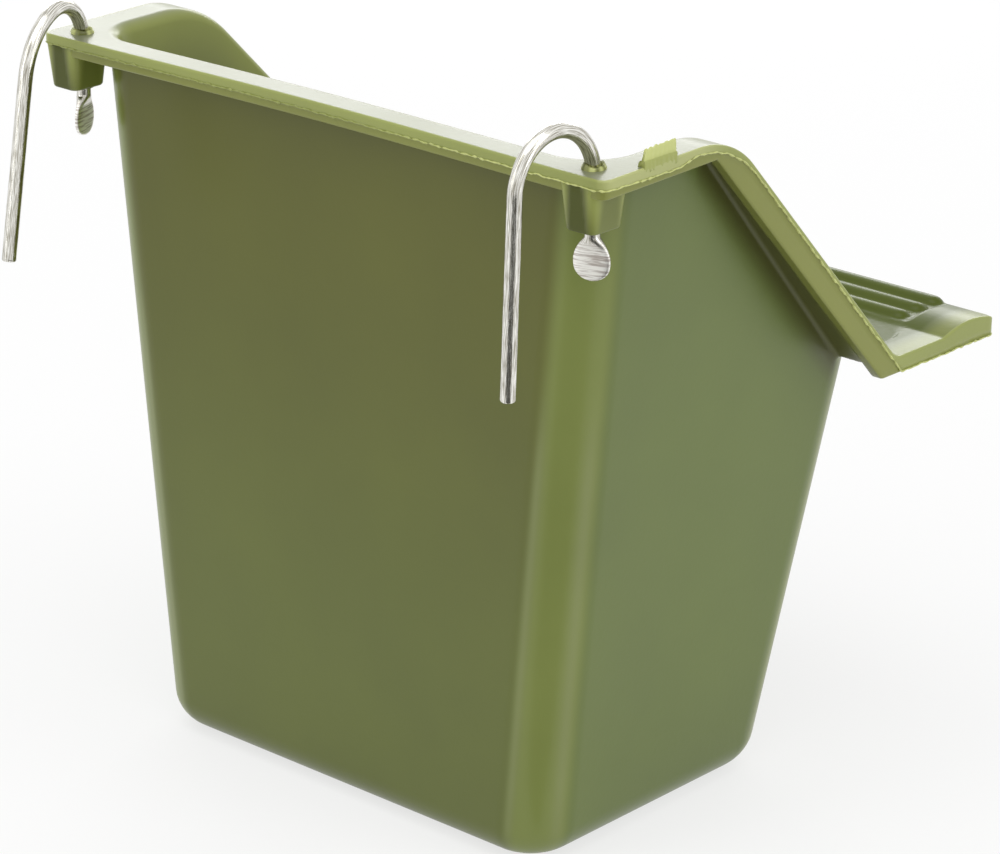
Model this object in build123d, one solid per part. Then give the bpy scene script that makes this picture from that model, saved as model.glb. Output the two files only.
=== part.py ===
from build123d import *
import math
import os

# Feed cup for a cage: one plastic moulding and two bent wire hooks.
# Millimetres, +Z up. The origin is the centre of the flat underside.
# The perch points to -Y and the cage side, with the hooks, to +Y.

# Tapered cup
cup_height = 91.6            # underside to the level rim's top, at the back
base_width = 66.0            # outer width of the wall planes at the underside
base_depth = 45.4            # outer depth of the wall planes at the underside
wall_thickness = 1.5
floor_thickness = 1.8
side_draft = 5.5             # lean of each side wall, degrees
back_draft = 1.0             # lean of the back wall, degrees
front_draft = 10.4           # lean of the front wall, degrees
corner_radius = 7.0          # outer radius of the upright corners
bottom_radius = 4.5          # outer radius round the underside

# Rim flange
side_overhang = 4.2          # rim beyond the side wall, at the level rim's top
back_overhang = 3.6          # rim beyond the back wall, at the level rim's top
rim_thickness = 2.4          # level part of the rim
rim_rise = 0.5               # the level part climbs this much from the back to the bend
level_length = 22.9          # back face to where the level and sloping tops would cross
bend_radius = 13.3           # top of the bend between the two
slope_angle = 46.3           # fall of the sloping side rim, degrees
slope_edge_height = 3.4      # edge face of the sloping rim, square to the slope
rim_corner_radius = 1.5      # plan radius of the rim's corners
mouth_radius = 1.6           # where the rim's top rolls over into the cup

# Front perch
perch_drop = 35.1            # level rim's top down to the perch's top
perch_edge_height = 2.3      # edge face of the perch
lip_heel_radius = 1.0        # where the slope's lip turns into the perch's
perch_front = 78.2           # rim's back face to the perch's front face
perch_bend_radius = 3.0      # hollow curve where the slope meets the perch
nose_width = 11.2            # swell along the perch's front edge, front to back
nose_rise = 1.0              # height of the swell over the perch's top
edge_lip_width = 2.0         # border lip under the sloping rim and the perch
edge_lip_depth = 1.2         # how far the lip stands below the plate
dish_depth = 1.0             # fall of the plate behind the ribs, towards the cup
dish_side_margin = 5.2       # flat border strips beside the dish
dish_corner_radius = 4.6
dish_front_gap = 11.0        # perch's front face to the dish's front edge
rib_count = 3
rib_pitch = 3.65
rib_first_gap = 1.2          # perch's front face to the first rib's middle
rib_radius = 1.7             # section radius of a rib
rib_root_depth = 0.2         # rib's root below the floor of the grooves
groove_depth = 0.7           # swell's top to the floor between the ribs
grip_end_margin = 6.9        # perch's side face to the grip's ends
rib_end_gap = 0.6            # rib's end to the grip's end

# Corner bosses
boss_width = 5.5             # along X
boss_length = 6.3            # along Y
boss_drop = 4.5              # below the rim's underside
boss_back_inset = 0.2        # back face in front of the rim's back face
boss_draft = 5.0             # degrees
boss_edge_radius = 1.1
collar_height = 0.8          # raised ring round the wire on the rim
collar_base_radius = 2.0
collar_top_radius = 1.6

# Wire hooks
wire_diameter = 1.83
bore_clearance = 0.05        # radial, wire to bore
bore_flare = 0.35            # extra radius at the bore's mouth, where the wire starts to bend
bore_flare_depth = 2.0
stem_back_inset = 3.4        # rim's back face to the stem's middle
bend_start_drop = 0.8        # rim's top down to where the wire starts to bend
neck_length = 1.0            # round wire between the boss and the spade
spade_width = 4.5
spade_length = 5.2
spade_thickness = 0.7
spade_end_width = 2.2        # flatter part of the spade's rounded end
spade_widest_share = 0.55    # where along the spade it is widest
spade_taper_share = 0.3      # share of the spade in which the wire flattens
spade_edge_roundness = 0.55  # half thickness that the flat faces are cut from
spade_steps = 10
leg_tip_chamfer = 0.3

# Each hook as it hangs in its boss, and where the two sit along the rim: the moulding holds the
# pair a little off its middle. A turn is measured from +Y towards +X, seen from above.
left_hook_shape = {
    "side": 1,
    "boss_side_inset": 0.35,  # boss's outer face behind the rim's side face
    "stem_side_inset": 4.0,  # rim's side face to the stem's middle
    "turn_angle": -15.6,     # direction of the leg
    "rising_radius": 5.2,    # bend next to the stem
    "rising_angle": 104.9,
    "falling_radius": 9.3,   # bend next to the leg
    "falling_angle": 62.3,
    "leg_length": 22.5,
    "spade_angle": 70.0,     # direction that the spade's flat face looks in
}
right_hook_shape = {
    "side": -1,
    "boss_side_inset": 1.6,
    "stem_side_inset": 4.5,
    "turn_angle": 1.6,
    "rising_radius": 6.43,
    "rising_angle": 87.7,
    "falling_radius": 6.40,
    "falling_angle": 90.6,
    "leg_length": 23.6,
    "spade_angle": -18.0,
}


def lean(angle):
    return math.tan(math.radians(angle))


# Places worked out from the sizes above
wire_radius = wire_diameter / 2
rim_half_width = base_width / 2 + cup_height * lean(side_draft) + side_overhang
rim_back = base_depth / 2 + cup_height * lean(back_draft) + back_overhang
perch_face = rim_back - perch_front
perch_top = cup_height - perch_drop
perch_underside = perch_top - perch_edge_height
stem_y = rim_back - stem_back_inset
boss_underside = cup_height - rim_thickness - boss_drop
dish_half_width = rim_half_width - dish_side_margin
above_cup = 1.3 * cup_height     # a height clear of everything that is cut


def wall_rectangle(height, inset):
    """Rectangle of the four wall planes at a height, moved in by inset, square to each wall."""
    half_width = base_width / 2 + height * lean(side_draft) - inset / math.cos(math.radians(side_draft))
    back = base_depth / 2 + height * lean(back_draft) - inset / math.cos(math.radians(back_draft))
    front = -base_depth / 2 - height * lean(front_draft) + inset / math.cos(math.radians(front_draft))
    middle = Plane.XY.offset(height) * Pos(0, (back + front) / 2)
    return middle * Rectangle(2 * half_width, back - front)


def tapered_block(low, high, inset):
    """Tapered block between two heights with rounded upright corners and a rounded bottom edge."""
    block = loft([wall_rectangle(low, inset), wall_rectangle(high, inset)], ruled=True)
    uprights = [edge for edge in block.edges() if edge.bounding_box().size.Z > 1]
    block = fillet(uprights, corner_radius - inset)
    bottom_edges = block.edges().group_by(Axis.Z)[0]
    return fillet(bottom_edges, bottom_radius - inset)


def rounded_outline(corners):
    """Closed face in the YZ plane from (y, z, radius) corners, each rounded by its radius."""
    starts = []
    ends = []
    middles = []
    for index, (y, z, radius) in enumerate(corners):
        here = Vector(0, y, z)
        before = (Vector(0, *corners[index - 1][:2]) - here).normalized()
        after = (Vector(0, *corners[(index + 1) % len(corners)][:2]) - here).normalized()
        half_angle = math.radians(before.get_angle(after)) / 2
        reach = radius / math.tan(half_angle)
        starts.append(here + before * reach)
        ends.append(here + after * reach)
        inward = (before + after).normalized()
        middles.append(here + inward * (radius / math.sin(half_angle) - radius))
    edges = []
    for index, (y, z, radius) in enumerate(corners):
        if radius > 0:
            edges.append(ThreePointArc(starts[index], middles[index], ends[index]))
        following = (index + 1) % len(corners)
        edges.append(Line(ends[index], starts[following]))
    return make_face(edges)


def along_x(face, half_width):
    """Solid of a YZ face, carried the same way to both sides."""
    return extrude(face, amount=half_width, dir=(1, 0, 0), both=True)


def slope_top(distance_down):
    """(y, z) of the line of the sloping top, that far below the level top's crossing point."""
    return (rim_back - level_length - distance_down / lean(slope_angle), cup_height + rim_rise - distance_down)


def slope_underside(height, thickness):
    """y of the sloping rim's underside at a height, for a thickness square to the slope."""
    crossing_y, crossing_z = slope_top(0)
    upright_thickness = thickness / math.cos(math.radians(slope_angle))
    return crossing_y - (crossing_z - upright_thickness - height) / lean(slope_angle)


# Rim and perch: one plate, seen from the side
level_underside = cup_height - rim_thickness
bend_underside = level_underside + rim_rise
top_bend = (*slope_top(0), bend_radius)
top_foot = (*slope_top(perch_drop + rim_rise), perch_bend_radius)
rim_outline = rounded_outline([
    (rim_back, cup_height, 0),
    top_bend,
    top_foot,
    (perch_face, perch_top, 0),
    (perch_face, perch_underside, 0),
    (slope_underside(perch_underside, slope_edge_height), perch_underside, lip_heel_radius),
    (slope_underside(bend_underside, slope_edge_height), bend_underside, 0),
    (rim_back, level_underside, 0),
])

# Swell along the perch's front edge
nose_middle = perch_face + nose_width / 2
nose_outline = make_face([
    ThreePointArc(
        Vector(0, perch_face, perch_top),
        Vector(0, nose_middle, perch_top + nose_rise),
        Vector(0, perch_face + nose_width, perch_top),
    ),
    Polyline(
        Vector(0, perch_face + nose_width, perch_top),
        Vector(0, nose_middle, perch_top - perch_edge_height / 2),
        Vector(0, perch_face, perch_top),
    ),
])
rim = along_x(rim_outline + nose_outline, rim_half_width)
upright_edges = rim.edges().filter_by(Axis.Z).group_by(Axis.Y)
rim = fillet(upright_edges[0] + upright_edges[-1], rim_corner_radius)

# Hollow under each sloping side, between the cup's wall and the border lip, as far as the front wall
lip_ceiling = perch_underside + edge_lip_depth
bend_ceiling = bend_underside - edge_lip_depth
plate_thickness = slope_edge_height - edge_lip_depth
hollow_front = -base_depth / 2 - perch_underside * lean(front_draft)
hollow_outline = make_face(Polyline(
    Vector(0, perch_face, lip_ceiling),
    Vector(0, slope_underside(lip_ceiling, plate_thickness), lip_ceiling),
    Vector(0, slope_underside(bend_ceiling, plate_thickness), bend_ceiling),
    Vector(0, slope_underside(bend_ceiling, slope_edge_height), bend_ceiling),
    Vector(0, slope_underside(perch_underside, slope_edge_height), perch_underside),
    Vector(0, slope_underside(perch_underside, slope_edge_height), perch_underside - edge_lip_depth),
    Vector(0, perch_face, perch_underside - edge_lip_depth),
    close=True,
))
lip_inside = rim_half_width - edge_lip_width
hollow_middle = (hollow_front + rim_back) / 2
for side in (-1, 1):
    strip = Pos(side * (dish_half_width + lip_inside) / 2, hollow_middle, cup_height / 2) * Box(
        lip_inside - dish_half_width, rim_back - hollow_front, cup_height
    )
    rim = rim - (along_x(hollow_outline, lip_inside) & strip)

# Dished top of the perch behind the ribs, falling towards the cup, and a little into the slope's foot
dish_front = perch_face + dish_front_gap
dish_back = slope_top(perch_drop + rim_rise - dish_depth / 2)[0]
dish_wedge = along_x(make_face(Polyline(
    Vector(0, dish_front, perch_top),
    Vector(0, dish_back, perch_top - dish_depth),
    Vector(0, dish_back, perch_top + dish_depth),
    Vector(0, dish_front, perch_top + dish_depth),
    close=True,
)), dish_half_width)
dish_plan_depth = 2 * (dish_back - dish_front)
dish_plan = Pos(0, dish_front + dish_plan_depth / 2) * RectangleRounded(
    2 * dish_half_width, dish_plan_depth, dish_corner_radius
)
dish = dish_wedge & extrude(dish_plan, above_cup)

# Ribbed grip: a pocket in the swell with round-ended ribs, level with the swell's top
grip_top = perch_top + nose_rise
grip_floor = grip_top - groove_depth
grip_half_length = rim_half_width - grip_end_margin
grip_depth = rib_first_gap + (rib_count - 1) * rib_pitch + rib_pitch / 2
grip_pocket = Pos(0, perch_face + grip_depth / 2, grip_floor + nose_rise) * Box(
    2 * grip_half_length, grip_depth, 2 * nose_rise
)
rim = rim - grip_pocket
rib_zone = Pos(0, perch_face + grip_depth / 2, grip_floor - rib_root_depth + nose_rise) * Box(
    2 * rim_half_width, grip_depth, 2 * nose_rise
)
rib_half_length = grip_half_length - rib_end_gap
rib_straight = rib_half_length - rib_radius
slant = rib_radius * math.sqrt(0.5)
rib_outline = make_face([
    Line((-rib_half_length, 0, 0), (rib_half_length, 0, 0)),
    ThreePointArc((rib_half_length, 0, 0), (rib_straight + slant, 0, slant), (rib_straight, 0, rib_radius)),
    Line((rib_straight, 0, rib_radius), (-rib_straight, 0, rib_radius)),
    ThreePointArc((-rib_straight, 0, rib_radius), (-rib_straight - slant, 0, slant), (-rib_half_length, 0, 0)),
])
rib = revolve(rib_outline, Axis.X)
for rib_index in range(rib_count):
    rib_middle = Pos(0, perch_face + rib_first_gap + rib_index * rib_pitch, grip_top - rib_radius)
    rim = rim + (rib_middle * rib & rib_zone)

# Cup body below the rim's top line
under_top = along_x(rounded_outline([
    (rim_back, cup_height, 0),
    top_bend,
    top_foot,
    (perch_face, perch_top, 0),
    (perch_face, -floor_thickness, 0),
    (rim_back, -floor_thickness, 0),
]), rim_half_width)
cup = rim + (tapered_block(0, above_cup, 0) & under_top)
cup = cup - dish


def stem_middle(shape):
    """x of a hook's stem."""
    return shape["side"] * (rim_half_width - shape["stem_side_inset"])


def boss(shape):
    """Corner boss rooted in the rim, tapered on all sides, with the raised collar on top."""
    root_height = cup_height - rim_thickness / 2
    foot_shrink = (root_height - boss_underside) * lean(boss_draft)
    outer_x = rim_half_width - shape["boss_side_inset"]
    outer_y = rim_back - boss_back_inset
    middle = Pos(shape["side"] * (outer_x - boss_width / 2), outer_y - boss_length / 2)
    top_face = middle * Pos(0, 0, root_height) * RectangleRounded(boss_width, boss_length, boss_edge_radius)
    foot_face = middle * Pos(0, 0, boss_underside) * RectangleRounded(
        boss_width - 2 * foot_shrink, boss_length - 2 * foot_shrink, boss_edge_radius
    )
    block = loft([foot_face, top_face], ruled=True)
    collar = Pos(stem_middle(shape), stem_y, cup_height + collar_height / 2) * Cone(
        collar_base_radius, collar_top_radius, collar_height
    )
    return block + collar


def stem_bore(shape):
    """Upright hole for the wire's stem, flared at its mouth."""
    bore_radius = wire_radius + bore_clearance
    hole = Pos(stem_middle(shape), stem_y, cup_height) * Cylinder(bore_radius, 4 * boss_drop)
    mouth_top = cup_height + collar_height
    flare = Pos(stem_middle(shape), stem_y, mouth_top - bore_flare_depth / 2) * Cone(
        bore_radius, bore_radius + bore_flare, bore_flare_depth
    )
    return hole + flare


hook_shapes = (left_hook_shape, right_hook_shape)
for shape in hook_shapes:
    cup = cup + boss(shape)
cavity = tapered_block(floor_thickness, above_cup, wall_thickness)
cup = cup - cavity
mouth_edges = []
for edge in cup.edges():
    middle = edge @ 0.5
    if middle.Z > perch_top - 2 * dish_depth and cavity.distance_to(Vertex(middle)) < 0.01:
        mouth_edges.append(edge)
cup = fillet(mouth_edges, mouth_radius)
for shape in hook_shapes:
    cup = cup - stem_bore(shape)
cup = cup.solid()


def bend(start, heading, radius, angle):
    """Arc of a wire's bend in the XZ plane, with the point and the heading at its end."""
    centre = start + Vector(heading.Z, 0, -heading.X) * radius
    spoke = start - centre
    halfway = centre + spoke.rotate(Axis.Y, angle / 2)
    end = centre + spoke.rotate(Axis.Y, angle)
    return ThreePointArc(start, halfway, end), end, heading.rotate(Axis.Y, angle)


def spade_half_width(share):
    """Half width of the spade at a share of its length below the neck."""
    widest = spade_width / 2
    if share < spade_widest_share:
        return wire_radius + (widest - wire_radius) * math.sin(math.pi / 2 * share / spade_widest_share)
    past = (share - spade_widest_share) / (1 - spade_widest_share)
    return widest - (widest - spade_end_width / 2) * past ** 2.5


def flattened_end():
    """Wire end hammered to a spade below the origin, its flat faces looking along Y."""
    sections = []
    for step in range(spade_steps + 1):
        share = step / spade_steps
        half_thickness = wire_radius - (wire_radius - spade_edge_roundness) * min(1, share / spade_taper_share)
        level = Pos(0, 0, -share * spade_length)
        sections.append(level * Ellipse(spade_half_width(share), half_thickness))
    body = loft(sections)
    taper_foot = -spade_taper_share * spade_length
    half = spade_thickness / 2
    flats = along_x(make_face(Polyline(
        Vector(0, wire_radius, 0),
        Vector(0, half, taper_foot),
        Vector(0, half, -spade_length),
        Vector(0, -half, -spade_length),
        Vector(0, -half, taper_foot),
        Vector(0, -wire_radius, 0),
        close=True,
    )), spade_width)
    return body & flats


def hook(shape):
    """Bent wire of one hook, in its boss, with its leg in the shape's direction."""
    neck_foot = boss_underside - neck_length
    foot = Vector(0, 0, neck_foot)
    bend_start = Vector(0, 0, cup_height - bend_start_drop)
    up = Vector(0, 0, 1)
    rising, crown, crown_heading = bend(bend_start, up, shape["rising_radius"], shape["rising_angle"])
    falling, leg_start, leg_heading = bend(crown, crown_heading, shape["falling_radius"], shape["falling_angle"])
    leg_end = leg_start + leg_heading * shape["leg_length"]
    path = Wire([Line(foot, bend_start), rising, falling, Line(leg_start, leg_end)])
    wire = sweep(Plane(origin=foot, z_dir=up) * Circle(wire_radius), path)
    tip = wire.edges().filter_by(GeomType.CIRCLE).sort_by_distance(leg_end)[0]
    wire = chamfer(tip, leg_tip_chamfer)
    wire = Rot(0, 0, 90 - shape["turn_angle"]) * wire
    spade = Rot(0, 0, -shape["spade_angle"]) * Pos(0, 0, neck_foot) * flattened_end()
    return Pos(stem_middle(shape), stem_y) * (wire + spade)


pieces = {
    "cup": cup,
    "left_hook": hook(left_hook_shape).solid(),
    "right_hook": hook(right_hook_shape).solid(),
}
os.makedirs("parts", exist_ok=True)
for name, piece in pieces.items():
    piece.label = name
    export_step(piece, f"parts/{name}.step")
    box = piece.bounding_box()
    print(name, round(piece.volume, 1), "mm3, from", box.min, "to", box.max)
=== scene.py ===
import math
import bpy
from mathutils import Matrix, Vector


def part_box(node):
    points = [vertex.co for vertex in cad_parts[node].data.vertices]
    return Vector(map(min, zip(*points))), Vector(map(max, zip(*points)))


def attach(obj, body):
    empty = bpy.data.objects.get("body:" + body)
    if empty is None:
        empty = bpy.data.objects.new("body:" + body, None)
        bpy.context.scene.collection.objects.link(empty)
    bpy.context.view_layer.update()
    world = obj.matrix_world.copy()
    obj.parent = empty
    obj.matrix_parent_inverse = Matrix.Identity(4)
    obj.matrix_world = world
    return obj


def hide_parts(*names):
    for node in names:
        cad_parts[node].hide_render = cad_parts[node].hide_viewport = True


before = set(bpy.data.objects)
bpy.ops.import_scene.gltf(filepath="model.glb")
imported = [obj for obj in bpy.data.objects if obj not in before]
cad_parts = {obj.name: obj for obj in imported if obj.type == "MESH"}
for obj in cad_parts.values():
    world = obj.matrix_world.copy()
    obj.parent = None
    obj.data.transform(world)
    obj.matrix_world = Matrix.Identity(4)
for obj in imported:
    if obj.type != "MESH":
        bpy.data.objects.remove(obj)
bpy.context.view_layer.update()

from types import SimpleNamespace
import bpy
import numpy as np
from mathutils import Matrix, Vector

# Settings are in millimetres and degrees, in the part's own frame: +Z up, the origin under
# the cup's middle, the perch towards -Y and the cage side towards +Y.
millimetre = 0.001
cupLow, cupHigh = [np.array(corner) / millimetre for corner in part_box("cup")]
print("stage 1: the frame is in place")


# Small helpers for numbers
def smoothStep(value, start, stop):
    # 0 before start, 1 after stop, and 3t^2 - 2t^3 between them.
    t = np.clip((value - start) / (stop - start), 0.0, 1.0)
    return t * t * (3.0 - 2.0 * t)


def unitVector(vector):
    return vector / np.linalg.norm(vector, axis=-1, keepdims=True)


def blend(first, second, share):
    return first + share * (second - first)


def towards(azimuth, elevation):
    # Unit vector from the object to a place in the room, with azimuth 0 at the perch's side.
    turn, tilt = math.radians(azimuth), math.radians(elevation)
    return Vector((math.sin(turn) * math.cos(tilt), -math.cos(turn) * math.cos(tilt), math.sin(tilt)))


def ripple(position, period, waves, seed):
    # Smooth uneven line that repeats after one period: a sum of sines with random phases,
    # whose wave numbers are drawn between the two given, scaled to about -1..1.
    draw = np.random.default_rng(seed)
    numbers = draw.integers(waves[0], waves[1] + 1, 14)
    phases = draw.uniform(0.0, 2.0 * np.pi, 14)
    angle = 2.0 * np.pi * position[..., None] / period
    return np.sin(angle * numbers + phases).sum(-1) / 3.7


def bentHeight(y, corners):
    # Height of a line through (y, z, radius) corners, with y falling from corner to corner.
    # Straight stretches: z = z0 + slope * (y - y0). Arcs: z = zc -+ sqrt(r^2 - (y - yc)^2).
    places = np.array(corners)
    z = np.interp(-y, -places[:, 0], places[:, 1])
    for (y0, z0, _), (y1, z1, radius), (y2, z2, _) in zip(corners, corners[1:], corners[2:]):
        if radius == 0:
            continue
        slopeIn = math.atan2(z0 - z1, y0 - y1)
        slopeOut = math.atan2(z1 - z2, y1 - y2)
        reach = radius * math.tan(abs(slopeOut - slopeIn) / 2.0)
        crown = 1.0 if slopeOut > slopeIn else -1.0
        arcStart = y1 + reach * math.cos(slopeIn)
        arcStop = y1 - reach * math.cos(slopeOut)
        middleY = arcStart + crown * radius * math.sin(slopeIn)
        middleZ = z1 + reach * math.sin(slopeIn) - crown * radius * math.cos(slopeIn)
        height = middleZ + crown * np.sqrt(np.maximum(radius ** 2 - (y - middleY) ** 2, 0.0))
        z = np.where((y < arcStart) & (y > arcStop), height, z)
    return z


# Meshes
def newObject(name, data):
    thing = bpy.data.objects.new(name, data)
    bpy.context.scene.collection.objects.link(thing)
    return thing


def gridPiece(name, points, body, layers, closedRows=False):
    # Puts a (rows, columns, 3) grid of millimetre points into a mesh. Columns always close on
    # themselves. With closed rows the grid is a ring, otherwise each end is closed at its middle.
    rows, columns = points.shape[:2]
    row = np.arange(rows if closedRows else rows - 1)[:, None] * np.ones(columns, int)
    column = np.arange(columns)[None, :] * np.ones(row.shape, int)
    nextRow = (row + 1) % rows
    nextColumn = (column + 1) % columns
    quads = np.stack([
        row * columns + column,
        row * columns + nextColumn,
        nextRow * columns + nextColumn,
        nextRow * columns + column,
    ], -1).reshape(-1, 4)
    vertices = points.reshape(-1, 3)
    faces = [quads]
    if not closedRows:
        around = np.arange(columns)
        following = (around + 1) % columns
        last = (rows - 1) * columns
        first = np.full(columns, len(vertices))
        faces.append(np.stack([first, following, around], -1))
        faces.append(np.stack([first + 1, last + around, last + following], -1))
        vertices = np.vstack([vertices, points[0].mean(0), points[-1].mean(0)])
    mesh = bpy.data.meshes.new(name)
    loops = np.concatenate([part.ravel() for part in faces])
    sizes = np.concatenate([np.full(len(part), part.shape[1]) for part in faces])
    mesh.vertices.add(len(vertices))
    mesh.vertices.foreach_set("co", (vertices * millimetre).ravel())
    mesh.loops.add(len(loops))
    mesh.loops.foreach_set("vertex_index", loops)
    mesh.polygons.add(len(sizes))
    mesh.polygons.foreach_set("loop_start", np.concatenate([[0], np.cumsum(sizes)[:-1]]))
    mesh.update(calc_edges=True)
    mesh.shade_smooth()
    for layerName, values in layers.items():
        flat = values.reshape(rows * columns, -1)
        if len(vertices) > len(flat):
            ends = values.reshape(rows, columns, -1)
            flat = np.vstack([flat, ends[0].mean(0), ends[-1].mean(0)])
        kind = "FLOAT" if flat.shape[1] == 1 else "FLOAT_VECTOR"
        layer = mesh.attributes.new(layerName, kind, "POINT")
        layer.data.foreach_set("value" if kind == "FLOAT" else "vector", flat.ravel())
    piece = newObject(name, mesh)
    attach(piece, body)
    return piece


def plasticPiece(name, points, colour, closedRows=False):
    return gridPiece(name, points, "cup_body", {"tint": colour}, closedRows)


# The cup
cupShape = SimpleNamespace(
    baseWidth=66.0,
    baseDepth=45.4,
    wall=1.5,
    floor=1.8,
    sideDraft=5.5,
    backDraft=1.0,
    frontDraft=10.4,
    cornerRadius=7.0,
    bottomRadius=4.5,
    wallBow=0.22,            # moulded walls sink in a little between their corners
    backBow=1.0,             # the back of the rim is pushed in this much in its middle
    collarHeight=0.8,
    rimThickness=2.4,
    rimRise=0.5,
    levelLength=22.9,
    bendRadius=13.3,
    slopeAngle=46.3,
    slopeEdgeHeight=3.4,
    rimCornerRadius=1.5,
    perchDrop=35.1,
    perchEdgeHeight=2.3,
    perchBendRadius=3.0,
    lipHeelRadius=1.0,
    lipWidth=2.0,
    lipDepth=1.2,
    lipSide=(-0.35, 0.05),   # its inner face, from and to this far out from its edge
    lipFront=(-0.2, 0.5),    # the same in front of the front wall
    fillet=0.7,              # under the rim, where it leaves the wall
    edgeRounding=0.28,
    underRounding=0.3,
    mouthRounding=1.6,
    upperBandInset=0.1,      # the half above the parting line stands further out
    lowerBandInset=0.36,
)
perch = SimpleNamespace(
    swellWidth=11.2,
    swellRise=1.0,
    ribCount=3,
    ribPitch=3.65,
    firstRib=1.2,
    ribRadius=1.7,
    grooveDepth=0.7,
    gripMargin=6.9,
    ribEndGap=0.6,
    dishDepth=1.0,
    dishMargin=5.2,
    dishCornerRadius=4.6,
    dishFrontGap=11.0,
    softness=0.35,           # half width of the rounding round the dish and the grip
)
parting = SimpleNamespace(
    backDepth=1.2,           # below the rim's top
    levelEnd=14.8,           # y where the line starts to climb along the side rim
    climbEnd=12.0,
    bendY=4.86,
    bendDepth=0.45,
    climbRadius=3.0,
    bendRadius=15.0,
    slopeDepth=0.8,          # straight down, along the slope
    perchFoot=0.2,           # above the perch's underside
    footRadius=0.8,
)


def lean(angle):
    return math.tan(math.radians(angle))


rimHalf, rimBack = cupHigh[:2]
perchFace = cupLow[1]
rimTop = cupHigh[2] - cupShape.collarHeight
perchTop = rimTop - cupShape.perchDrop
perchUnder = perchTop - cupShape.perchEdgeHeight
crossingY = rimBack - cupShape.levelLength  # where the level and sloping tops would cross
crossingZ = rimTop + cupShape.rimRise
slope = lean(cupShape.slopeAngle)
slopeStretch = 1.0 / math.cos(math.radians(cupShape.slopeAngle))
footY = crossingY - (crossingZ - perchTop) / slope
levelUnder = rimTop - cupShape.rimThickness
bendUnder = levelUnder + cupShape.rimRise


def underSlope(height, thickness):
    # y on the sloping plate's underside at a height, for a thickness square to the slope.
    return crossingY - (crossingZ - thickness * slopeStretch - height) / slope


def underLine(thickness, lift, heelRadius):
    # Underside of the rim's plate at a thickness, with its part below the perch lifted.
    foot = perchUnder + lift
    return [
        (rimBack, levelUnder, 0),
        (underSlope(bendUnder, thickness), bendUnder, 0),
        (underSlope(foot, thickness), foot, heelRadius),
        (perchFace, foot, 0),
    ]


def wallPlanes(z, inset):
    # Half width, back and front of the four leaning walls at height z, moved in by inset.
    halfWidth = cupShape.baseWidth / 2 + z * lean(cupShape.sideDraft) - inset
    back = cupShape.baseDepth / 2 + z * lean(cupShape.backDraft) - inset
    front = -cupShape.baseDepth / 2 - z * lean(cupShape.frontDraft) + inset
    return halfWidth, back, front


topLine = [
    (rimBack, rimTop, 0),
    (crossingY, crossingZ, cupShape.bendRadius),
    (footY, perchTop, cupShape.perchBendRadius),
    (perchFace, perchTop, 0),
]
lipLine = underLine(cupShape.slopeEdgeHeight, 0.0, cupShape.lipHeelRadius)
hollowLine = underLine(cupShape.slopeEdgeHeight - cupShape.lipDepth, cupShape.lipDepth, 0)
partingFoot = perchUnder + parting.perchFoot
partingSlopeZ = crossingZ - parting.slopeDepth
partingLine = [
    (rimBack, rimTop - parting.backDepth, 0),
    (parting.levelEnd, rimTop - parting.backDepth, parting.climbRadius),
    (parting.climbEnd, rimTop - parting.bendDepth, parting.climbRadius),
    (parting.bendY, partingSlopeZ + slope * (parting.bendY - crossingY), parting.bendRadius),
    (crossingY - (partingSlopeZ - partingFoot) / slope, partingFoot, parting.footRadius),
    (perchFace, partingFoot, 0),
]


def topHeight(x, y):
    # Rim and perch from above: the bent plate, plus the swell's arc along the front edge,
    # minus the dish's ramp, with the grip's pocket and its round-ended ribs let into the swell.
    height = bentHeight(y, topLine)
    swellMiddle = perchFace + perch.swellWidth / 2
    swellRadius = (perch.swellWidth ** 2 / 4 + perch.swellRise ** 2) / (2 * perch.swellRise)
    arc = np.sqrt(np.maximum(swellRadius ** 2 - (y - swellMiddle) ** 2, 0.0)) - swellRadius
    gripTop = perchTop + perch.swellRise
    height = np.maximum(height, gripTop + arc)
    gripFloor = gripTop - perch.grooveDepth
    gripDepth = perch.firstRib + (perch.ribCount - 0.5) * perch.ribPitch
    gripHalf = rimHalf - perch.gripMargin
    ribStraight = gripHalf - perch.ribEndGap - perch.ribRadius
    beyond = np.maximum(np.abs(x) - ribStraight, 0.0)
    grooved = np.minimum(height, gripFloor)
    for rib in range(perch.ribCount):
        away = y - (perchFace + perch.firstRib + rib * perch.ribPitch)
        bulge = np.sqrt(np.maximum(perch.ribRadius ** 2 - away ** 2 - beyond ** 2, 0.0))
        grooved = np.maximum(grooved, gripTop - perch.ribRadius + bulge)
    soft = perch.softness
    inGrip = smoothStep(gripHalf - np.abs(x), -soft, soft)
    inGrip = inGrip * smoothStep(perchFace + gripDepth - y, -soft, soft)
    height = blend(height, grooved, inGrip)
    dishHalf = rimHalf - perch.dishMargin
    dishFront = perchFace + perch.dishFrontGap
    sideways = np.abs(x) - dishHalf + perch.dishCornerRadius
    forwards = dishFront + perch.dishCornerRadius - y
    corner = np.hypot(np.maximum(sideways, 0.0), np.maximum(forwards, 0.0))
    outside = corner + np.minimum(np.maximum(sideways, forwards), 0.0) - perch.dishCornerRadius
    depth = perch.dishDepth * np.clip((y - dishFront) / (footY - dishFront), 0.0, 1.0)
    inDish = smoothStep(-outside, -soft, soft) * smoothStep(footY + 0.5 - y, -0.5, 0.5)
    return height - inDish * depth


def underHeight(x, y):
    # Underside of the rim and perch: the lip's line along the border and below the perch,
    # and the higher hollow line between the lip and the wall.
    frontWall = wallPlanes(perchUnder, 0.0)[2]
    lipInside = rimHalf - cupShape.lipWidth
    lip = smoothStep(np.abs(x) - lipInside, *cupShape.lipSide)
    ahead = smoothStep(frontWall - y, *cupShape.lipFront)
    return blend(bentHeight(y, hollowLine), bentHeight(y, lipLine), np.maximum(lip, ahead))


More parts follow.
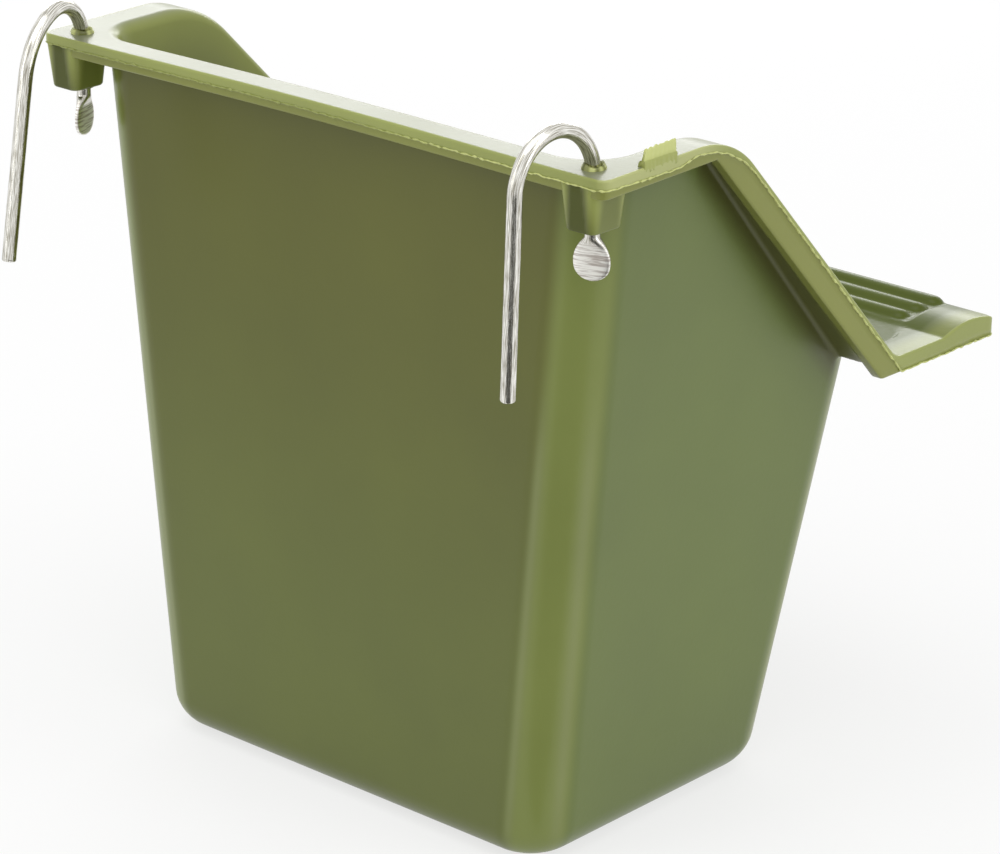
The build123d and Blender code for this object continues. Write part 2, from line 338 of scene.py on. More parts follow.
def roundedTurn(t, start, apex, stop, radius, shares):
    # Plan path from start to stop past a square corner: a straight line, a quarter arc and a
    # straight line, each over its share of t. Also gives the outward direction at each point.
    start, apex, stop = np.array(start), np.array(apex), np.array(stop)
    inward = unitVector(stop - apex)
    onward = unitVector(apex - start)
    arcStart = apex - radius * onward
    arcStop = apex + radius * inward
    first = np.clip(t / shares[0], 0, 1)[:, None]
    angle = np.clip((t - shares[0]) / shares[1], 0, 1)[:, None] * np.pi / 2
    last = np.clip((t - shares[0] - shares[1]) / shares[2], 0, 1)[:, None]
    outward = onward * np.sin(angle) - inward * np.cos(angle)
    centre = arcStart + radius * inward
    path = np.where(angle > 0, centre + radius * outward, blend(start, arcStart, first))
    path = np.where(last > 0, blend(arcStop, stop, last), path)
    return path, outward


def columnLayout():
    # Columns go round counter-clockwise, seen from above: four straight sides and four corners.
    # Each column holds the wall corners that it lies between, the wall's outward direction, its
    # share of the way, and the place and outward direction of the rim's edge that it ends on.
    sideCount = {0: 64, 1: 84, 2: 34, 3: 84}
    cornerCount = {0: 54, 1: 94, 2: 94, 3: 54}
    backX, backY, _ = wallPlanes(rimTop, cupShape.cornerRadius)
    frontX, _, frontY = wallPlanes(perchTop, cupShape.cornerRadius)
    signs = [(1, 1), (-1, 1), (-1, -1), (1, -1)]
    onEdge = {
        0: ((rimHalf, backY), (rimHalf, rimBack), (backX, rimBack)),
        1: ((-backX, rimBack), (-rimHalf, rimBack), (-rimHalf, backY)),
        2: ((-rimHalf, frontY), (-rimHalf, perchFace), (-frontX, perchFace)),
        3: ((frontX, perchFace), (rimHalf, perchFace), (rimHalf, frontY)),
    }
    backTurn = (0.36, 0.28, 0.36)
    perchTurn = (0.54, 0.09, 0.37)
    turnShares = {0: backTurn, 1: backTurn, 2: perchTurn, 3: perchTurn[::-1]}
    stretches = []

    def add(cornerA, cornerB, direction, share, edge, outward):
        # What is the same all along a stretch of columns is spread over each of them.
        each = np.zeros((len(share), 2))
        stretches.append((each + cornerA, each + cornerB, each + direction, share, edge, each + outward))

    for side in range(4):
        nextSide = (side + 1) % 4
        here, following = signs[side], signs[nextSide]
        angle = math.pi / 2 * (side + 1)
        facing = np.array([round(math.cos(angle)), round(math.sin(angle))])
        start, stop = np.array(onEdge[side][2]), np.array(onEdge[nextSide][0])
        t = np.arange(sideCount[side]) / sideCount[side]
        add(here, following, facing, t, blend(start, stop, t[:, None]), facing)
        t = np.arange(cornerCount[side]) / cornerCount[side]
        turned = angle + t * math.pi / 2
        direction = np.stack([np.cos(turned), np.sin(turned)], -1)
        edge, outward = roundedTurn(t, *onEdge[nextSide], cupShape.rimCornerRadius, turnShares[nextSide])
        add(following, following, direction, 0 * t, edge, outward)
    names = ("cornerA", "cornerB", "direction", "share", "edge", "outward")
    spread = {name: np.concatenate(values) for name, values in zip(names, zip(*stretches))}
    return SimpleNamespace(**spread)


columns = columnLayout()

# Colours of the plastic as they look on a screen, 0 to 255. It is see-through enough to be
# lighter and yellower where it is thin. Light and shade are also painted into them: painted
# light on the side walls, the rounded corners and the mouth, the rim's bands painted lighter
# as light shining through the rim, paler strips of painted reflection beside the corners, a
# painted highlight on the bosses' upright edges, and painted shade on the wall under the
# sloping rim and on the bosses' faces towards Y.
tints = {
    "wallHigh": (92, 95, 28),
    "wallLow": (98, 107, 46),
    "sideWallLit": (103, 117, 57),
    "corner": (123, 134, 68),
    "paintedReflection": (134, 142, 92),
    "shade": (76, 75, 34),
    "under": (112, 116, 50),
    "lowerBand": (132, 137, 66),
    "upperBand": (150, 158, 86),
    "sideBandLit": (176, 181, 118),
    "rimTop": (126, 130, 100),
    "slopeTop": (118, 126, 50),
    "perchTop": (76, 88, 8),
    "mouth": (140, 148, 72),
    "inside": (104, 110, 54),
    "boss": (78, 84, 32),
    "bossSideLit": (108, 116, 52),
    "bossEdgeHighlight": (150, 158, 84),
    "collar": (96, 100, 36),
    "gateFoot": (164, 171, 96),
    "thin": (202, 208, 132),
}
plasticLook = SimpleNamespace(
    roughness=(0.25, 0.37),
    gloss=(0.04, 0.42),      # in the darkest, sheltered places and everywhere else
    darkest=(0.09, 0.15),    # lengths of the colour between which the gloss comes in
    clouding=(0.86, 1.14),
    cloudScale=45.0,
    waveScale=28.0,
    waves=(0.35, 0.001),     # strength, and depth in metres
    grainScale=1500.0,
    grain=(0.12, 0.0001),
    refraction=1.49,
)
wallShading = SimpleNamespace(
    fade=(15.0, 85.0),       # heights between which the low colour turns into the high one
    sideTurn=(40.0, 88.0),   # degrees round the corner over which the side wall's painted light comes in
    cornerIn=(6.0, 26.0),    # degrees over which the corner's painted light comes in
    cornerOut=(2.0, 20.0),   # degrees before the side wall over which it goes again
    strips=((16.0, 5.0), (66.0, 7.0)),  # middle and spread of each paler strip of painted reflection, degrees
    stripStrength=0.6,
    stripFoot=(1.0, 6.0),    # heights over which the strips come in
    stripHead=(50.0, 66.0),  # and go again
    shadeDepth=(0.43, 5.14),  # below the sloping rim, where the shade fades out
    levelStart=(-2.0, 6.0),  # behind the bend, where the slope's colour turns to the rim's
    footFade=(-1.5, 0.5),    # in front of the slope's foot, where the perch's comes in
    borderFade=(1.5, 4.5),   # in from the perch's side faces, the same
)


def tintOf(name):
    # The screen colour as the linear one that a shader takes.
    colour = np.array(tints[name]) / 255
    return np.where(colour < 0.04045, colour / 12.92, ((colour + 0.055) / 1.055) ** 2.4)


def mixedIn(colour, name, share):
    # The colours with a named one mixed in, by one share for each point.
    return blend(colour, tintOf(name), share[..., None])


def wallColour(height, drop):
    # Colour of the outside at a height, drop mm below the rim's underside, with light and shade
    # painted in. The turn is 0 on the back and front walls and 90 on the side walls. The side
    # walls are painted lighter, as lit. The corner's painted light is strongest in its middle, with
    # a paler band of painted reflection, a bell curve of the turn, on either side of it. Painted
    # shade darkens the wall just under the sloping rim.
    height = np.asarray(height) + np.zeros(len(columns.share))
    way = np.abs(columns.direction)
    turn = np.degrees(np.arctan2(way[:, 0], way[:, 1]))
    s = wallShading
    colour = mixedIn(tintOf("wallLow"), "wallHigh", smoothStep(height, *s.fade))
    colour = mixedIn(colour, "sideWallLit", smoothStep(turn, *s.sideTurn))
    middle = smoothStep(turn, *s.cornerIn) * smoothStep(s.sideTurn[1] - turn, *s.cornerOut)
    colour = mixedIn(colour, "corner", middle)
    strips = sum(np.exp(-((turn - centre) / width) ** 2) for centre, width in s.strips)
    reach = smoothStep(height, *s.stripFoot) * (1 - smoothStep(height, *s.stripHead))
    colour = mixedIn(colour, "paintedReflection", s.stripStrength * strips * reach)
    fall = np.clip(np.abs(underFall()), 0, 1)
    shaded = fall * (1 - smoothStep(drop, *s.shadeDepth)) * np.ones(height.shape)
    return mixedIn(colour, "shade", shaded)


def underFall():
    # How steeply the rim's underside falls where each wall column meets it.
    y = wallPoint(meeting(underHeight, 0.0), 0.0)[:, 1]
    return bentHeight(y + 0.4, hollowLine) - bentHeight(y - 0.4, hollowLine)


def topColour(plan):
    # Colour of the rim's top: the level part, then the slope, then the perch.
    y = plan[..., 1]
    s = wallShading
    level = smoothStep(y - crossingY, *s.levelStart)
    colour = mixedIn(tintOf("slopeTop"), "rimTop", level)
    inFront = smoothStep(footY - y, *s.footFade)
    inner = inFront * smoothStep(rimHalf - np.abs(plan[..., 0]), *s.borderFade)
    return mixedIn(colour, "perchTop", inner)


def wallPoint(z, inset):
    # Plan place of the wall at height z, moved in by inset: the rectangle of the four leaning
    # wall planes with rounded corners, x = s (h - r) + r cos a on a corner and a straight
    # mix of two corners between them, sunk by a flat sine arch up and along each wall.
    halfWidth, back, front = wallPlanes(z, inset)
    radius = cupShape.cornerRadius - inset
    ends = []
    for signs in (columns.cornerA, columns.cornerB):
        middleX = signs[:, 0] * (halfWidth - radius)
        middleY = np.where(signs[:, 1] > 0, back - radius, front + radius)
        ends.append(np.stack([middleX, middleY], -1))
    share = columns.share
    radius, z = np.broadcast_arrays(radius, z)
    place = blend(*ends, share[:, None])
    arch = np.sin(np.pi * share) * np.sin(np.pi * np.clip(z / rimTop, 0, 1))
    return place + columns.direction * (radius - cupShape.wallBow * arch)[..., None]


def meeting(heightOf, inset):
    # Height at which each wall column meets a surface z = heightOf(x, y), by repeating
    # z -> heightOf(wall place at z), which settles because the walls are steep.
    z = np.full(len(columns.share), perchTop)
    for _ in range(24):
        plan = wallPoint(z, inset)
        z = heightOf(plan[:, 0], plan[:, 1])
    return z


def rise(start, stop, count):
    # Evenly spaced shares for rows, as a column that numpy spreads over all columns.
    return np.linspace(start, stop, count)[:, None]


def cupRows():
    # Profile of the cup, from the middle of the underside, up the outside, over the rim and
    # down the inside to the middle of the floor, as a list of (plan, height, colour) blocks.
    shape = cupShape
    edge, outward = columns.edge, columns.outward
    wall, floor = shape.wall, shape.floor
    farBelow = 99.0     # out of reach of the shade under the rim
    blocks = []

    def put(plan, height, colour):
        height = np.broadcast_to(height, plan.shape[:2])
        blocks.append((plan, height, np.broadcast_to(colour, (*height.shape, 3))))

    radius = shape.bottomRadius
    flat = wallPoint(np.zeros(1), radius)
    put(flat * np.array([0.3, 0.65, 0.95])[:, None, None], 0.0, wallColour(0.0, farBelow))
    turn = rise(0, np.pi / 2, 12)
    height = radius * (1 - np.cos(turn))
    put(wallPoint(height, radius * (1 - np.sin(turn))), height, wallColour(height, farBelow))

    underTop = meeting(underHeight, 0.0)
    fillet = shape.fillet
    climb = (1 - (1 - rise(0, 1, 25)) ** 1.7)[1:]
    height = blend(radius, underTop - fillet, climb)
    put(wallPoint(height, 0.0), height, wallColour(height, underTop - height))
    root = wallPoint(underTop, 0.0)
    inset = shape.lowerBandInset + shape.underRounding
    border = edge - outward * inset
    away = unitVector(border - root)
    turn = rise(0, np.pi / 2, 5)[1:]
    dip = fillet * (1 - np.sin(turn))
    plan = wallPoint(underTop - dip, 0.0) + away * (fillet * (1 - np.cos(turn)))[..., None]
    height = underHeight(plan[..., 0], plan[..., 1]) - dip
    # With no drop, the fillet under the sloping rim takes the wall's painted shade at its darkest.
    put(plan, height, wallColour(height, 0.0 * height))
    start = plan[-1]
    across = rise(0, 1, 17)[1:]
    plan = blend(start, border, across[..., None])
    # Across the underside, that painted shade by the wall turns into the underside's colour outwards.
    outwards = smoothStep(across + 0.0 * underTop, 0.3, 0.75)
    colour = mixedIn(wallColour(underTop, 0.0 * underTop), "under", outwards)
    put(plan, underHeight(plan[..., 0], plan[..., 1]), colour)

    # The edge: from the underside round a small curve, up the lower band, out at the parting
    # line, up the upper band and round the top. Heights on a slope are stretched to match.
    fall = (bentHeight(edge[:, 1] + 0.05, topLine) - bentHeight(edge[:, 1] - 0.05, topLine)) / 0.1
    stretch = np.sqrt(1 + (fall * outward[:, 0]) ** 2)
    top = topHeight(edge[:, 0], edge[:, 1])
    under = underHeight(edge[:, 0], edge[:, 1])
    middle = bentHeight(edge[:, 1], partingLine)
    lower, upper = shape.lowerBandInset, shape.upperBandInset
    small, large = shape.underRounding, shape.edgeRounding
    steps = []
    for angle in np.linspace(0, np.pi / 2, 5)[1:]:
        lift = stretch * small * (1 - math.cos(angle))
        steps.append((lower + small * (1 - math.sin(angle)), under + lift))
    for share in (0.35, 0.7):
        steps.append((lower, blend(under + small * stretch, middle - 0.1, share)))
    for out, lift in ((lower, -0.09), (0.6 * lower + 0.4 * upper, -0.05), (upper, 0.0)):
        steps.append((out, middle + lift * stretch))
    firstUpper = len(steps) - 1
    for share in (0.4, 0.8):
        steps.append((upper, blend(middle, top - large * stretch, share)))
    for angle in np.linspace(0, np.pi / 2, 7):
        drop = stretch * large * (1 - math.sin(angle))
        steps.append((upper + large * (1 - math.cos(angle)), top - drop))
    outs = np.array([step[0] for step in steps])[:, None, None]
    heights = np.maximum.accumulate(np.array([step[1] for step in steps]), axis=0)
    # Painted light: the bands are lighter than the wall as light shining through the rim, the upper band more
    # than the lower one, and the upper band on the level side rim painted lighter still.
    level = np.abs(outward[:, 0]) * smoothStep(edge[:, 1], crossingY, crossingY + 6)
    upperTint = mixedIn(tintOf("upperBand"), "sideBandLit", level)
    upperPart = (np.arange(len(outs)) >= firstUpper)[:, None, None]
    colour = np.where(upperPart, upperTint, tintOf("lowerBand"))
    put(edge - outward * outs, np.minimum(heights, top), colour)

    # The top, from the edge to the mouth, with more rows across the grip.
    mouthTop = meeting(topHeight, wall)
    rounding = shape.mouthRounding
    mouth = wallPoint(mouthTop, wall)
    start = edge - outward * (upper + large)
    back = unitVector(start - mouth)
    stop = mouth + back * rounding
    grip = 0.56
    across = np.concatenate([rise(0, grip, 36)[1:], rise(grip, 1, 18)[1:]])
    plan = blend(start, stop, across[..., None])
    put(plan, topHeight(plan[..., 0], plan[..., 1]), topColour(plan))
    turn = rise(0, np.pi / 2, 13)[1:]
    plan = mouth + back * (rounding * (1 - np.sin(turn)))[..., None]
    height = topHeight(plan[..., 0], plan[..., 1]) - rounding * (1 - np.cos(turn))
    # Round the mouth, the top's colour turns into the mouth's painted light.
    put(plan, height, mixedIn(topColour(plan), "mouth", np.sin(turn) + 0.0 * height))

    # The inside: down the wall, round the bottom corner and in to the middle of the floor.
    radius = shape.bottomRadius - wall
    climb = 1 - (1 - rise(0, 1, 14)[1:]) ** 1.3
    height = blend(mouthTop - rounding, floor + radius, climb)
    # The top of the inner wall carries the mouth's painted light, fading to the inside's colour lower down.
    belowMouth = smoothStep(mouthTop - height, 1.2, 3.5)
    put(wallPoint(height, wall), height, mixedIn(tintOf("mouth"), "inside", belowMouth))
    turn = rise(0, np.pi / 2, 10)[1:]
    height = floor + radius * (1 - np.sin(turn))
    put(wallPoint(height, wall + radius * (1 - np.cos(turn))), height, tintOf("inside"))
    flat = wallPoint(np.full(1, floor), wall + radius)
    put(flat * np.array([0.9, 0.6, 0.3])[:, None, None], floor, tintOf("inside"))
    return blocks


def bowed(points):
    # The back of the rim is pushed in: y falls by b (1 - (x / h)^2)^2 at the rim's back edge,
    # and by less towards the cup's middle and its underside.
    x, y, z = points[..., 0], points[..., 1], points[..., 2]
    share = smoothStep(y, 0.0, rimBack) * smoothStep(z, 0.25 * rimTop, rimTop)
    arch = np.maximum(1 - (x / rimHalf) ** 2, 0.0) ** 2
    return points - np.stack([0 * y, cupShape.backBow * arch * share, 0 * y], -1)


def buildCup():
    plan, height, colour = [np.concatenate(blocks) for blocks in zip(*cupRows())]
    points = np.concatenate([plan, height[..., None]], -1)
    piece = plasticPiece("cupShell", bowed(points), colour)
    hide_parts("cup")
    return piece


# Torn skin of plastic along the parting line
flashShape = SimpleNamespace(
    samples=3000,
    reach=0.3,               # out of the upper band, as far as the rim's full width lets it
    halfThickness=0.09,
    wander=0.05,             # up and down
)


def rimPath(count, inset):
    # Evenly spaced points round the rim's edge with their outward directions.
    edge, outward = columns.edge, columns.outward
    closed = np.vstack([edge, edge[:1]])
    step = np.linalg.norm(np.diff(closed, axis=0), axis=1)
    along = np.concatenate([[0], np.cumsum(step)])
    place = np.arange(count) / count * along[-1]
    turned = np.vstack([outward, outward[:1]])
    way = unitVector(np.stack([np.interp(place, along, turned[:, axis]) for axis in (0, 1)], -1))
    plan = np.stack([np.interp(place, along, closed[:, axis]) for axis in (0, 1)], -1)
    return plan - way * inset, way, place, along[-1]


def buildFlash():
    # A thin fin carried round the rim: six points across, whose reach and height follow
    # uneven periodic lines, so that it looks torn.
    s = flashShape
    plan, way, place, length = rimPath(s.samples, cupShape.upperBandInset)
    torn = ripple(place, length, (40, 150), 3) + 0.7 * ripple(place, length, (200, 900), 4)
    torn = np.clip(0.55 + 0.5 * torn, 0.12, 1.4)
    reach = np.minimum(s.reach * torn, cupShape.upperBandInset - 0.005)
    wander = s.wander * ripple(place, length, (30, 220), 5)
    thick = s.halfThickness * (1 + 0.5 * ripple(place, length, (60, 500), 6))
    middle = bentHeight(plan[:, 1], partingLine) + wander
    outs = np.stack([-0.3 + 0 * reach, 0.1 * reach, reach, reach, 0.1 * reach - 0.1, -0.3 + 0 * reach])
    ups = np.stack([0.9 * thick, thick, 0.3 * thick, -0.4 * thick, -1.3 * thick, -1.1 * thick])
    points = np.concatenate([
        plan + way * outs[..., None],
        (middle + ups)[..., None],
    ], -1)
    # Palest along the near side rim and corner, and close to the band's own colour elsewhere.
    points = points[::-1]
    colour = mixedIn(tintOf("upperBand"), "thin", smoothStep(-points[..., 0], 5.0, 30.0))
    return plasticPiece("partingFlash", bowed(points), colour, closedRows=True)


# Corner bosses and the collars round the wires
bossShape = SimpleNamespace(
    width=5.5,
    length=6.3,
    drop=4.5,
    backInset=0.2,
    draft=5.0,
    edgeRadius=1.1,
    footRounding=0.35,
    sunk=1.6,                # up into the rim
    stemBack=3.4,            # rim's back face to the stem's middle
    bore=0.965,
    boreChamfer=0.3,
)
collarShape = SimpleNamespace(
    height=0.75,
    baseRadius=1.5,
    topRadius=1.3,
    flare=0.15,
    unevenness=0.14,
)
stemY = rimBack - bossShape.stemBack
bossFoot = levelUnder - bossShape.drop


def roundedRectangle(halfX, halfY, radius, perCorner, perSide):
    # Counter-clockwise plan loop about the origin: straight sides and quarter arcs.
    middles = np.array([(1, 1), (-1, 1), (-1, -1), (1, -1)]) * (halfX - radius, halfY - radius)
    share = np.linspace(0, 1, perSide + 2)[1:-1, None]
    loop = []
    for turn, middle in enumerate(middles):
        angle = np.pi / 2 * turn + np.linspace(0, np.pi / 2, perCorner)
        arc = middle + radius * np.stack([np.cos(angle), np.sin(angle)], -1)
        loop += [arc, arc[-1] + share * (middles[(turn + 1) % 4] - middle)]
    return np.concatenate(loop)


def stemX(hook):
    return hook.side * (rimHalf - hook.stemInset)


def buildBoss(hook, name):
    # A closed ring: down the bore, across the foot, round its edge, up the drafted sides and
    # back over the top inside the rim. Circle and rounded rectangle share their directions.
    s = bossShape
    side = hook.side
    middle = np.array([
        rimHalf - hook.bossInset - s.width / 2,
        rimBack - s.backInset - s.length / 2,
    ])
    stem = np.array([side * stemX(hook), stemY]) - middle
    root = rimTop - cupShape.rimThickness / 2
    top = levelUnder + s.sunk

    def outer(height, shrink):
        inset = (root - height) * lean(s.draft) + shrink
        radius = max(s.edgeRadius - shrink, 0.25)
        loop = roundedRectangle(s.width / 2 - inset, s.length / 2 - inset, radius, 12, 8)
        return np.column_stack([loop, np.full(len(loop), height)])

    way = unitVector(outer(bossFoot, 0.0)[:, :2] - stem)

    def inner(height, radius):
        return np.column_stack([stem + way * radius, np.full(len(way), height)])

    rows = [
        inner(top, s.bore),
        inner(bossFoot + s.boreChamfer, s.bore),
        inner(bossFoot, s.bore + s.boreChamfer),
    ]
    rounding = s.footRounding
    for angle in np.linspace(0, np.pi / 2, 6):
        rows.append(outer(bossFoot + rounding * (1 - math.cos(angle)), rounding * (1 - math.sin(angle))))
    for share in (0.25, 0.5, 0.75, 1.0):
        rows.append(outer(blend(bossFoot + rounding, top, share), 0.0))
    points = np.array(rows)
    points[..., :2] += middle
    if side < 0:
        points = points[:, ::-1] * np.array([-1.0, 1.0, 1.0])
    # Painted light and shade: the faces towards Y painted darker as shade under the rim, those
    # towards X painted lighter as lit, and a painted highlight along its rounded upright edges.
    plan = np.abs(points[..., :2] - middle * np.array([side, 1.0])) / np.array([s.width, s.length])
    colour = mixedIn(tintOf("boss"), "bossSideLit", smoothStep(plan[..., 0] - plan[..., 1], -0.1, 0.1))
    colour = mixedIn(colour, "bossEdgeHighlight", smoothStep(plan.sum(-1), 0.62, 0.86))
    return plasticPiece(name, points, colour, closedRows=True)


def buildCollar(hook, name):
    # A ring turned round the stem, profile up the flared bore, over the crown and down the
    # outside, with radius and height pushed about by uneven periodic lines: melted plastic.
    s = collarShape
    around = np.linspace(0, 2 * np.pi, 96, endpoint=False)
    height = rimTop + s.height
    foot = rimTop - 0.8
    profile = np.array([
        (bossShape.bore, foot),
        (bossShape.bore, height - 0.9),
        (bossShape.bore + 0.3 * s.flare, height - 0.35),
        (bossShape.bore + s.flare, height - 0.06),
        (bossShape.bore + s.flare + 0.12, height),
        (s.topRadius - 0.16, height - 0.03),
        (s.topRadius, height - 0.18),
        (s.topRadius + 0.16, height - 0.5),
        (s.baseRadius, height - 0.85),
        (s.baseRadius + 0.4, height - 1.02),
        (s.baseRadius + 0.6, height - 1.2),
        (s.baseRadius, foot),
    ])
    outside = smoothStep(profile[:, 0], 1.25, 1.9)[:, None]
    coarse, fine, sag, mottling = [
        ripple(around, 2 * np.pi, waves, hook.seed + step)
        for step, waves in enumerate([(1, 4), (5, 14), (1, 5), (2, 9)])
    ]
    bulge = s.unevenness * (coarse + 0.5 * fine)
    radius = profile[:, :1] + outside * bulge
    dip = 0.22 * (1 + sag) / 2
    level = profile[:, 1:] - dip * smoothStep(profile[:, 1:], rimTop, height)
    points = np.stack([
        stemX(hook) + radius * np.cos(around),
        stemY + radius * np.sin(around),
        level + 0 * radius,
    ], -1)
    colour = mixedIn(tintOf("collar"), "thin", smoothStep(mottling + 0.0 * radius, -0.8, 0.9))
    return plasticPiece(name, points, colour, closedRows=True)


# Stub left where the plastic was let into the mould
gateShape = SimpleNamespace(
    start=20.9,              # y of its end next to the corner
    length=5.7,
    baseHeight=0.9,          # thicker foot that the film stands on
    filmHeight=1.5,
    lean=0.12,               # its top hangs this far in over the rim
)


def buildGate():
    # A film of plastic on a thicker foot at the side rim's edge: a loop of its section carried
    # along Y, with an uneven broken top edge.
    s = gateShape
    along = np.linspace(0, 1, 60)[:, None]
    place = along[:, 0] * s.length
    foot = s.baseHeight
    film = s.filmHeight * (0.86 + 0.14 * along) + 0.06 * ripple(place, 9.0, (1, 14), 21)[:, None]
    # Each point of the section: how far in from the edge, its share of the foot's height and
    # its share of the film's height. Up the outer face, over the film's top and down inside.
    section = np.array([
        (0.02, -0.5, 0), (0.0, 0.0, 0), (0.0, 0.55, 0), (0.03, 0.92, 0), (0.1, 1.0, 0),
        (0.17, 1.0, 0.03), (0.18, 1.0, 0.3), (0.18, 1.0, 0.7), (0.2, 1.0, 0.94),
        (0.27, 1.0, 1.0), (0.36, 1.0, 0.98), (0.44, 1.0, 0.85), (0.46, 1.0, 0.4),
        (0.5, 1.0, 0.04), (0.75, 0.95, 0), (0.95, 0.6, 0), (1.0, 0.0, 0), (1.0, -0.5, 0),
    ])
    out, low, high = section.T
    rough = 0.025 * ripple(place[:, None] + 6.0 * high, 9.0, (1, 14), 22)
    x = -rimHalf + cupShape.upperBandInset + out + rough + s.lean * high ** 1.5
    z = rimTop + low * foot + high * film
    y = s.start - place[:, None] - 0.5 * high * (1 - along) + 0 * x
    points = np.stack([x, y, z], -1)
    colour = mixedIn(tintOf("gateFoot"), "thin", smoothStep(high, 0.0, 0.05) + 0 * x)
    return plasticPiece("gateStub", points, colour)


# Wire hooks
wire = SimpleNamespace(
    radius=0.905,            # 0.01 under the solid's, to stay inside the solid's box
    bendStartDrop=0.8,
    neckLength=1.0,
    spadeWidth=4.5,
    spadeLength=5.2,
    spadeThickness=0.7,
    widestShare=0.55,
    taperShare=0.3,
    endPower=2.6,            # how square the spade's round end is
    endThinning=(0.93, 1.03),    # shares of the spade over which its end thins out
    squareness=0.45,         # 0 keeps the wire's round section across the spade
    leastHalf=0.25,
    tipRounding=0.3,
    tipShrink=0.35,
    lastStep=0.4,            # along the leg, from its even rows to its end
)
leftHook = SimpleNamespace(
    side=1,
    bossInset=0.35,          # rim's side face to the boss
    stemInset=4.0,           # rim's side face to the stem's middle
    turn=-15.6,
    risingRadius=5.2,
    risingSweep=104.9,
    fallingRadius=9.3,
    fallingSweep=62.3,
    legLength=22.5,
    spadeTurn=70.0,
    seed=31,
)
rightHook = SimpleNamespace(
    side=-1,
    bossInset=1.6,
    stemInset=4.5,
    turn=1.6,
    risingRadius=6.43,
    risingSweep=87.7,
    fallingRadius=6.4,
    fallingSweep=90.6,
    legLength=23.6,
    spadeTurn=-18.0,
    seed=47,
)


def wirePath(hook):
    # Centre line from the spade's end up the stem, over the two bends and down the leg, as
    # rows of out, up, heading and distance. A bend turns the heading by distance / radius.
    spadeFoot = bossFoot - wire.neckLength - wire.spadeLength
    spade = np.linspace(0, wire.spadeLength, 44)
    neck = np.linspace(0, wire.neckLength, 6)[1:]
    stem = np.linspace(0, rimTop - wire.bendStartDrop - bossFoot, 10)[1:]
    straight = np.concatenate([spade, spade[-1] + neck, spade[-1] + neck[-1] + stem])
    path = np.array([0 * straight, spadeFoot + straight, 0 * straight, straight])

    def longer(*steps):
        # The path with more points, whose values are counted from those of its last point.
        return np.hstack([path, path[:, -1:] + np.array(steps)])

    for radius, sweep in (
        (hook.risingRadius, hook.risingSweep),
        (hook.fallingRadius, hook.fallingSweep),
    ):
        turned = np.radians(np.linspace(0, sweep, 45))[1:]
        start = path[2, -1]
        out = radius * (math.cos(start) - np.cos(start + turned))
        up = radius * (np.sin(start + turned) - math.sin(start))
        path = longer(out, up, turned, radius * turned)
    tipSteps = wire.tipRounding * np.array([1.0, 0.67, 0.33, 0.1, 0.0])
    leg = np.linspace(0, hook.legLength - wire.lastStep, 40)[1:]
    leg = np.concatenate([leg, hook.legLength - tipSteps])
    down = path[2, -1]
    return longer(leg * math.sin(down), leg * math.cos(down), 0 * leg, leg)


def buildHook(hook, name, body, node):
    # Wire section carried along the path. Across the spade it is a flattened superellipse of
    # half width w and half thickness h: w swells as a sine and closes as a round end.
    out, up, heading, distance = wirePath(hook)
    around = np.linspace(0, 2 * np.pi, 40, endpoint=False)
    share = np.clip(1 - distance / wire.spadeLength, 0, 1)
    widest = wire.spadeWidth / 2
    radius = wire.radius
    swell = blend(radius, widest, np.sin(np.pi / 2 * np.clip(share / wire.widestShare, 0, 1)))
    past = np.clip((share - wire.widestShare) / (1 - wire.widestShare), 0, 1)
    half = np.where(share > wire.widestShare, widest * (1 - past ** wire.endPower) ** 0.5, swell)
    half = np.maximum(half, wire.leastHalf)
    flat = smoothStep(share, 0.0, wire.taperShare)
    thick = blend(radius, wire.spadeThickness / 2, flat)
    thick = thick * np.sqrt(np.clip(1 - smoothStep(share, *wire.endThinning) ** 2, 0.05, 1))
    fromTip = distance[-1] - distance
    tip = np.clip(1 - fromTip / wire.tipRounding, 0, 1)
    shrink = 1 - wire.tipShrink * (1 - np.sqrt(1 - tip ** 2 * 0.999))
    facing = math.radians(hook.spadeTurn - hook.turn)
    turned = math.pi / 2 - facing
    across = around[None, :] - turned
    power = (1 - wire.squareness * flat)[:, None]
    alongWidth, alongThick = np.cos(across), np.sin(across)
    wide = (half * shrink)[:, None] * np.sign(alongWidth) * np.abs(alongWidth) ** power
    deep = (thick * shrink)[:, None] * np.sign(alongThick) * np.abs(alongThick) ** power
    inPlane = wide * math.cos(turned) - deep * math.sin(turned)
    sideways = wide * math.sin(turned) + deep * math.cos(turned)
    angle = math.radians(hook.turn)
    upWay = np.array([0.0, 0.0, 1.0])
    legWay = np.array([math.sin(angle), math.cos(angle), 0.0])
    sideWay = np.cross(upWay, legWay)
    normal = np.cos(heading)[:, None] * legWay - np.sin(heading)[:, None] * upWay
    centre = np.array([stemX(hook), stemY, 0.0]) + out[:, None] * legWay + up[:, None] * upWay
    points = centre[:, None] + inPlane[..., None] * normal[:, None] + sideways[..., None] * sideWay
    streak = np.stack([
        np.cos(around) + 0 * inPlane,
        np.sin(around) + 0 * inPlane,
        np.broadcast_to(distance[:, None], inPlane.shape),
    ], -1)
    beaten = np.broadcast_to(flat[:, None], inPlane.shape)
    piece = gridPiece(name, points, body, {"alongWire": streak, "beaten": beaten})
    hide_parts(node)
    return piece


# Materials
def connect(tree, node, inputs):
    # Sets each input to a number or colour, or links it to another node's output.
    for key, value in inputs.items():
        if isinstance(value, bpy.types.NodeSocket):
            tree.links.new(value, node.inputs[key])
        else:
            node.inputs[key].default_value = value


def addNode(tree, kind, inputs=None, **values):
    node = tree.nodes.new(kind)
    for key, value in values.items():
        setattr(node, key, value)
    connect(tree, node, inputs or {})
    return node


def calculate(tree, operation, *numbers):
    node = addNode(tree, "ShaderNodeMath", dict(enumerate(numbers)), operation=operation)
    return node.outputs["Value"]


